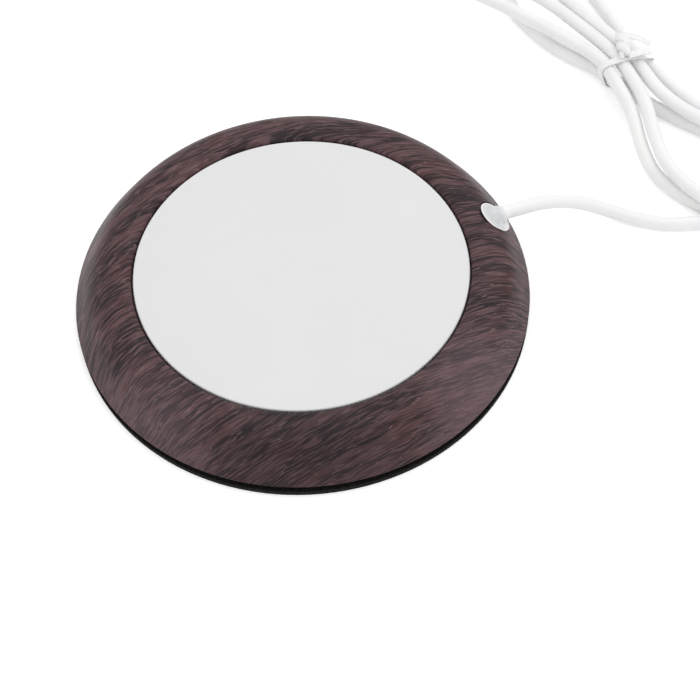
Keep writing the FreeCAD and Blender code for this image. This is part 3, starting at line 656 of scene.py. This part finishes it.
def headings(points, closed=False):
    """The way a row of points runs at each point, from the one before to the one after."""
    if closed:
        steps = np.roll(points, -1, axis=0) - np.roll(points, 1, axis=0)
    else:
        steps = np.gradient(points, axis=0)
    return unit_rows(steps)


def in_hank(rings):
    """Points in the hank's axes, put where the hank lies."""
    return hank_point(*np.moveaxis(rings, -1, 0))


def band_rings():
    """The outline round the outer passes: arcs about each middle and straight lines between."""
    middles = [np.array(PASSES[name])[[0, 2]] for name in BAND_CORNERS]
    places = []
    normals = []
    for k, middle in enumerate(middles):
        before = unit(middle - middles[k - 1])
        after = unit(middles[(k + 1) % len(middles)] - middle)
        first = math.atan2(-before[0], before[1])
        last = math.atan2(-after[0], after[1])
        while last < first:
            last += 2 * math.pi
        for turn in np.linspace(first, last, BAND_CORNER_POINTS):
            normal = np.array([math.cos(turn), math.sin(turn)])
            places.append(middle + normal * BAND_OFFSET)
            normals.append(normal)
    places = np.array(places)
    normals = np.array(normals)
    along = BAND_ALONG + BAND_SLANT * places[:, 0] - BAND_BEND * np.maximum(places[:, 0], 0.0) ** 2
    line = np.column_stack([along, places])
    thick = np.column_stack([np.zeros(len(normals)), normals])
    wide = unit_rows(np.cross(headings(line, closed=True), thick))
    return ribbon(line, wide, thick, STRIP_HALF_WIDTH, STRIP_HALF_THICKNESS)


def wound_rings(phase):
    """One of two strands about a straight axis: axis + r (cos p, sin p), with p growing evenly.
    Its size swells from the ends to the middle by a power of half a sine."""
    start, end = np.array(WIND_START), np.array(WIND_END)
    axis = unit(end - start)
    side = unit(np.cross(axis, (0.0, 0.0, 1.0)))
    upward = np.cross(side, axis)
    t = np.linspace(0, 1, WIND_POINTS)
    turn = phase + 2 * math.pi * WIND_TURNS * t
    swell = WIND_END_SHARE + (1 - WIND_END_SHARE) * np.sin(math.pi * t) ** WIND_SWELL_POWER
    normal = np.cos(turn)[:, None] * side + np.sin(turn)[:, None] * upward
    line = start + t[:, None] * (end - start) + normal * (WIND_RADIUS * swell)[:, None]
    wide = unit_rows(np.cross(headings(line), normal))
    rings = ribbon(np.zeros_like(line), wide, normal, WIND_HALF_WIDTH, WIND_HALF_THICKNESS)
    return line[:, None] + rings * swell[:, None, None]


def tag_rings(points):
    """A flat tag along a smooth line through its points, level across."""
    points = np.array(points)
    t = np.linspace(0, len(points) - 1, TAG_POINTS)
    line = np.column_stack([np.interp(t, np.arange(len(points)), points[:, k]) for k in range(3)])
    for _ in range(TAG_SMOOTHINGS):
        line[1:-1] = (line[:-2] + 2 * line[1:-1] + line[2:]) / 4
    run = headings(line)
    wide = unit_rows(np.cross((0.0, 0.0, 1.0), run))
    return ribbon(line, wide, np.cross(run, wide), TAG_HALF_WIDTH, STRIP_HALF_THICKNESS)


tie_rows = ([], [], [])
add_rings(tie_rows, in_hank(band_rings()), closed=True)
add_rings(tie_rows, in_hank(wound_rings(0.0)))
add_rings(tie_rows, in_hank(wound_rings(math.pi)))
add_rings(tie_rows, in_hank(tag_rings(UPPER_TAG)))
add_rings(tie_rows, in_hank(tag_rings(LOWER_TAG)))
tie = make_piece("tie_strip", tie_rows, "tie", "hank_tie")

# %% Tie finish
TIE_BUMP = 0.00006
tie_finish, tree, shader = new_finish("tie_coating", linear(245, 245, 244), roughness=0.34)
fine = noise(tree, place_mm(tree), scale=0.9)
paint(tree, shader, mottle(tree, fine, linear(240, 240, 240), linear(248, 248, 247)))
bump(tree, shader, fine, TIE_BUMP)
tie.data.materials.append(tie_finish)
print("tie: finish", tie_finish.name)

# %% [markdown]
# The floor is a wide plain sheet. Its colour is nearly white, and what the camera sees of it, straight
# or mirrored, gets a little light of its own, so that it reads as the white ground of a product
# photograph while the shadow under the object stays.

# %% Floor
FLOOR_HALF = 4.0
FLOOR_WHITE = 0.93
FLOOR_GLOW = 0.36


def make_floor(half):
    """A square on the level z = 0."""
    mesh = bpy.data.meshes.new("floor")
    corners = [(-half, -half, 0), (half, -half, 0), (half, half, 0), (-half, half, 0)]
    mesh.from_pydata(corners, [], [(0, 1, 2, 3)])
    holder = bpy.data.objects.new("floor", mesh)
    scene.collection.objects.link(holder)
    return holder


floor = make_floor(FLOOR_HALF)
floor_finish, tree, shader = new_finish("floor_white", (FLOOR_WHITE, FLOOR_WHITE, FLOOR_WHITE, 1.0),
                                        roughness=1.0, Specular_IOR_Level=0.0)
rays = add(tree, "ShaderNodeLightPath")
seen = maths(tree, "MAXIMUM", rays.outputs["Is Camera Ray"], rays.outputs["Is Glossy Ray"])
shader.inputs["Emission Color"].default_value = (1, 1, 1, 1)
tree.links.new(maths(tree, "MULTIPLY", seen, FLOOR_GLOW), shader.inputs["Emission Strength"])
floor.data.materials.append(floor_finish)
print("floor:", 2 * FLOOR_HALF, "m across")

# %% [markdown]
# The light is plain and soft: an even white sky and one large lamp above and to the right of the
# object. They are set so that a white surface facing up renders about as bright as it is written.

# %% Light
SKY_STRENGTH = 0.87
LAMP_POWER = 1.3
LAMP_PLACE = (0.30, 0.25, 0.75)
LAMP_SIZE = 0.7


def set_sky(strength):
    """Light from all round, and plain white where the camera looks past the floor."""
    world = bpy.data.worlds.new("sky")
    world.use_nodes = True
    scene.world = world
    tree = world.node_tree
    background = tree.nodes["Background"]
    background.inputs["Color"].default_value = (1, 1, 1, 1)
    rays = add(tree, "ShaderNodeLightPath")
    seen = maths(tree, "MULTIPLY", rays.outputs["Is Camera Ray"], 1.0 - strength)
    tree.links.new(maths(tree, "ADD", seen, strength), background.inputs["Strength"])


def set_lamp(place, size, power):
    """A square lamp that looks at the object's middle."""
    light = bpy.data.lights.new("softbox", "AREA")
    light.energy = power
    light.size = size
    holder = bpy.data.objects.new("softbox", light)
    scene.collection.objects.link(holder)
    back = unit(place)
    right = unit(np.cross((0.0, 1.0, 0.0), back))
    holder.matrix_world = axes_matrix(right, np.cross(back, right), back, place)


set_sky(SKY_STRENGTH)
set_lamp(LAMP_PLACE, LAMP_SIZE, LAMP_POWER)
print("light: sky", SKY_STRENGTH, "and a lamp of", LAMP_POWER, "W")

# %% [markdown]
# The ring carries a printed film with a dark wood grain. A picture of wood could be laid on it, or
# Blender's Wave texture bent, but the first needs a file and the second looks too even. Here the
# grain follows the level lines of a smooth cubic in x and y: slanted at the front and the left,
# nearly level at the back and the right. Noise drawn out along those lines gives bands, fibres and
# fine light threads, and where one noise passes its middle value it draws thin lines. Two warps keep
# them from being neat. Down the dome the film is unrolled, so streaks are not drawn out on its side.

# %% Ring finish
RING_TOP = 11.8
UNROLL_SHARE = 0.6
GRAIN_UNIT = 50.0
GRAIN_RISE = 0.7
GRAIN_SLANT = 0.3
GRAIN_CURL = 0.15
GRAIN_FAN = 0.1
GRAIN_CLOSING = 0.05
GRAIN_RUN = (0.92, 0.40)
GRAIN_WARPS = ((0.035, 5.0), (0.22, 0.8))
STREAKS = {
    "bands": {"fine": 0.30, "long": 0.026, "offset": 1.7, "detail": 2.0},
    "fibres": {"fine": 0.80, "long": 0.070, "offset": 7.3, "detail": 3.0},
    "threads": {"fine": 2.30, "long": 0.160, "offset": 13.1, "detail": 2.0},
    "veins": {"fine": 1.05, "long": 0.080, "offset": 21.7, "detail": 1.0},
}
STREAK_ROUGHNESS = 0.55
TONE_SPAN = (0.40, 0.60)
THIN_LINE_WIDTH = 0.020
THIN_LINE_SHARE = 0.65
THIN_LINE_GAPS = (0.38, 0.58)
PRINT_BUMP = 0.00002
# Painted shade round the strain relief's seat: the distances over which it fades, and its share.
SEAT_SHADE_SPAN = (4.60, 4.85)
SEAT_SHADE_SHARE = 0.9
# Painted shade darkens the print at the front, and painted reflections lighten it at the front left and front
# right.
PAINTED_SHADE_PATCHES = (
    {"place": (-2.0, -56.0), "full": 9.0, "gone": 36.0, "share": 0.36},
)
PAINTED_REFLECTION_PATCHES = (
    {"place": (46.0, -43.0), "full": 9.0, "gone": 25.0, "share": 0.34},
    {"place": (-44.0, -46.0), "full": 8.0, "gone": 25.0, "share": 0.24},
)


def grain_height(tree, x, y):
    """The sum rise y - slant x + curl x (x + y) + fan x^2 y + closing y^3, in grain units."""
    x_squared = maths(tree, "MULTIPLY", x, x)
    y_squared = maths(tree, "MULTIPLY", y, y)
    slant = maths(tree, "MULTIPLY", x, GRAIN_SLANT)
    height = maths(tree, "SUBTRACT", maths(tree, "MULTIPLY", y, GRAIN_RISE), slant)
    curl = maths(tree, "MULTIPLY", x, maths(tree, "ADD", x, y))
    height = maths(tree, "ADD", height, maths(tree, "MULTIPLY", curl, GRAIN_CURL))
    fan = maths(tree, "MULTIPLY", x_squared, y)
    height = maths(tree, "ADD", height, maths(tree, "MULTIPLY", fan, GRAIN_FAN))
    closing = maths(tree, "MULTIPLY", y_squared, y)
    return maths(tree, "ADD", height, maths(tree, "MULTIPLY", closing, GRAIN_CLOSING))


def grain_place(tree, where):
    """The unrolled place, the millimetres across the grain and those along it."""
    parts = add(tree, "ShaderNodeSeparateXYZ", None, Vector=where)
    flat = add(tree, "ShaderNodeCombineXYZ", None, X=parts.outputs[0], Y=parts.outputs[1], Z=0.0).outputs[0]
    reach = vectors(tree, "LENGTH", "Value", in_0=flat)
    drop = maths(tree, "MULTIPLY", maths(tree, "SUBTRACT", RING_TOP, parts.outputs[2]), UNROLL_SHARE)
    stretch = maths(tree, "ADD", 1.0, maths(tree, "DIVIDE", drop, reach))
    unrolled = vectors(tree, "SCALE", "Vector", in_0=flat, Scale=stretch)
    warped = unrolled
    for scale, amount in GRAIN_WARPS:
        source = add(tree, "ShaderNodeTexNoise", None, Vector=unrolled, Scale=scale).outputs["Color"]
        shift = vectors(tree, "SUBTRACT", "Vector", in_0=source, in_1=(0.5, 0.5, 0.5))
        shift = vectors(tree, "SCALE", "Vector", in_0=shift, Scale=amount)
        warped = vectors(tree, "ADD", "Vector", in_0=warped, in_1=shift)
    warped = vectors(tree, "SCALE", "Vector", in_0=warped, Scale=1 / GRAIN_UNIT)
    x, y = add(tree, "ShaderNodeSeparateXYZ", None, Vector=warped).outputs[:2]
    across = maths(tree, "MULTIPLY", grain_height(tree, x, y), GRAIN_UNIT)
    along = maths(tree, "ADD", maths(tree, "MULTIPLY", x, GRAIN_UNIT * GRAIN_RUN[0]),
                  maths(tree, "MULTIPLY", y, GRAIN_UNIT * GRAIN_RUN[1]))
    return unrolled, across, along


def streaks(tree, across, along, fine, long, offset, detail):
    """Noise drawn out along the grain: fine and long are its cells per millimetre."""
    vector = add(tree, "ShaderNodeCombineXYZ", None, X=maths(tree, "MULTIPLY", across, fine),
                 Y=maths(tree, "MULTIPLY", along, long), Z=offset).outputs[0]
    return noise(tree, vector, scale=1.0, detail=detail, roughness=STREAK_ROUGHNESS)


def tint_patches(tree, where, colour, patches, tint):
    """Carries the colour towards the tint by each patch's share: all of it within the full distance
    of its place in x and y, falling smoothly to nothing at the gone distance."""
    for patch in patches:
        flat = vectors(tree, "MULTIPLY", "Vector", in_0=where, in_1=(1.0, 1.0, 0.0))
        apart = vectors(tree, "DISTANCE", "Value", in_0=flat, in_1=(*patch["place"], 0.0))
        share = spread(tree, apart, patch["full"], patch["gone"], to_low=patch["share"], to_high=0.0)
        colour = blend_colours(tree, share, colour, tint)
    return colour


# %% Ring print
ring_finish, tree, shader = new_finish("dark_wood_print", linear(60, 45, 48), roughness=0.46,
                                       Specular_IOR_Level=0.2)
where = place_mm(tree)
unrolled, across, along = grain_place(tree, where)
bands, fibres, threads, veins = [streaks(tree, across, along, **kind) for kind in STREAKS.values()]
clouds = noise(tree, unrolled, scale=0.055)
gaps = noise(tree, unrolled, scale=0.30)
colour = blend_colours(tree, spread(tree, bands, *TONE_SPAN), linear(45, 35, 38), linear(84, 60, 62))
for source, low, high, share, tint in (
        (clouds, 0.50, 0.72, 0.5, linear(78, 42, 42)),
        (fibres, 0.45, 0.60, 0.85, linear(37, 28, 31)),
        (threads, 0.47, 0.62, 0.70, linear(108, 82, 85))):
    colour = blend_colours(tree, spread(tree, source, low, high, to_high=share), colour, tint)
from_middle = maths(tree, "ABSOLUTE", maths(tree, "SUBTRACT", veins, 0.5))
thin_lines = spread(tree, from_middle, 0.0, THIN_LINE_WIDTH, to_low=1.0, to_high=0.0)
thin_lines = maths(tree, "MULTIPLY", thin_lines, spread(tree, gaps, *THIN_LINE_GAPS))
thin_lines = maths(tree, "MULTIPLY", thin_lines, THIN_LINE_SHARE)
colour = blend_colours(tree, thin_lines, colour, linear(134, 108, 110))
# These patches are painted shade and painted reflection laid over the print.
colour = tint_patches(tree, where, colour, PAINTED_SHADE_PATCHES, linear(20, 12, 14))
colour = tint_patches(tree, where, colour, PAINTED_REFLECTION_PATCHES, linear(128, 108, 113))
# Painted shade: the print turns near black in a thin ring round the strain relief.
seat_middle = plain_numbers(polar(DISC_REACH, EXIT_TURN, DISC_HEIGHT))
from_seat = vectors(tree, "DISTANCE", "Value", in_0=where, in_1=seat_middle)
painted_seat_shade = spread(tree, from_seat, *SEAT_SHADE_SPAN, to_low=SEAT_SHADE_SHARE, to_high=0.0)
paint(tree, shader, blend_colours(tree, painted_seat_shade, colour, linear(12, 9, 10)))
set_gloss(tree, shader, spread(tree, fibres, *NOISE_SPAN, to_low=0.42, to_high=0.50))
bump(tree, shader, threads, PRINT_BUMP)
print("ring: print of", len(tree.nodes), "nodes")

# %% [markdown]
# The other solids keep their shape and get their finishes: satin white paint on the warming plate,
# black rubber on the pad, black plastic on the base, white plastic on the plug, and plain metal, foil
# and felt inside. The paint on the plate shows a weave so fine that it is hardly seen, and two crossed
# sine waves are enough for it. The base is one tone with an uneven gloss, and the rest are two near
# tones that noise lays out.

# %% Plate finish
WEAVE_PITCH = 0.95
WEAVE_BUMP = 0.00001
WEAVE_BUMP_SHARE = 0.12
CLOUD_SHARE = 0.4
plate_finish, tree, shader = new_finish("white_plate_paint", linear(229, 229, 229), roughness=0.42)
where = place_mm(tree)
parts = add(tree, "ShaderNodeSeparateXYZ", None, Vector=where)
waves = [maths(tree, "SINE", maths(tree, "MULTIPLY", part, 2 * math.pi / WEAVE_PITCH))
         for part in parts.outputs[:2]]
weave = maths(tree, "ADD", maths(tree, "MULTIPLY", waves[0], 0.5), maths(tree, "MULTIPLY", waves[1], 0.5))
cloud = spread(tree, noise(tree, where, scale=0.05), *NOISE_SPAN, to_high=CLOUD_SHARE)
colour = blend_colours(tree, spread(tree, weave, -1.0, 1.0), linear(228, 228, 228), linear(230, 230, 230))
paint(tree, shader, blend_colours(tree, cloud, colour, linear(225, 225, 226)))
bump(tree, shader, weave, WEAVE_BUMP, WEAVE_BUMP_SHARE)
print("plate: weave", WEAVE_PITCH, "mm")

# %% Pad and base finishes
PAD_BUMP = 0.0003
BASE_BUMP = 0.00004
pad_finish, tree, shader = new_finish("black_pad_rubber", linear(20, 19, 18), roughness=0.95,
                                      Specular_IOR_Level=0.2)
grain = noise(tree, place_mm(tree), scale=1.4, detail=4.0, roughness=0.7)
share = spread(tree, grain, low=0.35, high=0.7)
paint(tree, shader, blend_colours(tree, share, linear(9, 8, 8), linear(36, 34, 32)))
bump(tree, shader, grain, PAD_BUMP)

base_finish, tree, shader = new_finish("black_base_plastic", linear(10, 9, 9), roughness=0.6,
                                       Specular_IOR_Level=0.3)
grain = noise(tree, place_mm(tree), scale=2.0, detail=3.0)
set_gloss(tree, shader, spread(tree, grain, *NOISE_SPAN, to_low=0.5, to_high=0.7))
bump(tree, shader, grain, BASE_BUMP)
print("pad and base:", pad_finish.name, base_finish.name)

# %% Plain finishes
SLOW_SHARE = 0.15
GLOSS_SHIFT = 0.15
METAL = 1.0


def plain_finish(name, dark, light, roughness, metallic=0.0, cells=0.8, depth=0.00003):
    """Two near tones laid out by noise, with a slightly uneven gloss and a faint bump."""
    material, tree, shader = new_finish(name, light, roughness, Metallic=metallic)
    where = place_mm(tree)
    paint(tree, shader, mottle(tree, noise(tree, where, cells * SLOW_SHARE), dark, light))
    fine = noise(tree, where, cells, detail=3.0)
    least = roughness * (1 - GLOSS_SHIFT)
    most = roughness * (1 + GLOSS_SHIFT)
    set_gloss(tree, shader, spread(tree, fine, *NOISE_REACH, to_low=least, to_high=most))
    bump(tree, shader, fine, depth)
    return material


FINISHES = {
    "wood_ring": ring_finish,
    "heating_plate": plate_finish,
    "base_pad": pad_finish,
    "base_cover": base_finish,
    "plate_tape": plain_finish("tape", linear(205, 200, 190), linear(215, 210, 200), 0.6),
    "heat_spreader": plain_finish("rolled_foil", linear(190, 190, 192), linear(205, 205, 207), 0.35, METAL),
    "heater_film": plain_finish("amber_film", linear(150, 88, 30), linear(170, 104, 40), 0.3),
    "heater_trace": plain_finish("etched_foil", linear(170, 150, 110), linear(190, 170, 128), 0.4, METAL),
    "solder_joints": plain_finish("solder", linear(180, 180, 184), linear(200, 200, 204), 0.3, METAL),
    "thermal_cutoff": plain_finish("cutoff_case", linear(30, 30, 30), linear(44, 44, 44), 0.5),
    "insulation_felt": plain_finish("felt", linear(170, 160, 142), linear(198, 190, 174), 0.95, cells=2.5,
                                    depth=0.0003),
    "presser_disc": plain_finish("fibre_sheet", linear(120, 104, 80), linear(140, 124, 98), 0.8),
    "base_screws": plain_finish("screw_steel", linear(120, 120, 124), linear(150, 150, 154), 0.35, METAL),
    "clamp_screws": plain_finish("small_steel", linear(120, 120, 124), linear(150, 150, 154), 0.35, METAL),
    "pad_adhesive": plain_finish("glue", linear(90, 86, 76), linear(104, 100, 90), 0.5),
    "strain_relief": relief_finish,
    "inner_cord": cord_finish,
    "cord_clamp": plain_finish("clamp_plastic", linear(196, 196, 192), linear(206, 206, 202), 0.5),
    "live_lead": plain_finish("red_lead", linear(150, 30, 26), linear(166, 36, 30), 0.4),
    "return_lead": plain_finish("black_lead", linear(30, 30, 30), linear(40, 40, 40), 0.4),
    "hank_tie": tie_finish,
    "plug_grip": plain_finish("grip_plastic", linear(236, 236, 236), linear(242, 242, 241), 0.42),
    "plug_shell": plain_finish("nickel_plate", linear(196, 194, 190), linear(210, 208, 204), 0.24, METAL),
    "plug_tongue": plain_finish("tongue_plastic", linear(226, 226, 224), linear(236, 236, 234), 0.4),
    "plug_contacts": plain_finish("gold_plate", linear(212, 170, 84), linear(226, 184, 98), 0.25, METAL),
}


def dress_solids():
    """Puts each finish on its solid."""
    for name, finish in FINISHES.items():
        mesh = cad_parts[name].data
        if not mesh.materials:
            mesh.materials.append(finish)
        for k in range(len(mesh.materials)):
            mesh.materials[k] = finish


dress_solids()
print("finishes on", len(FINISHES), "solids")
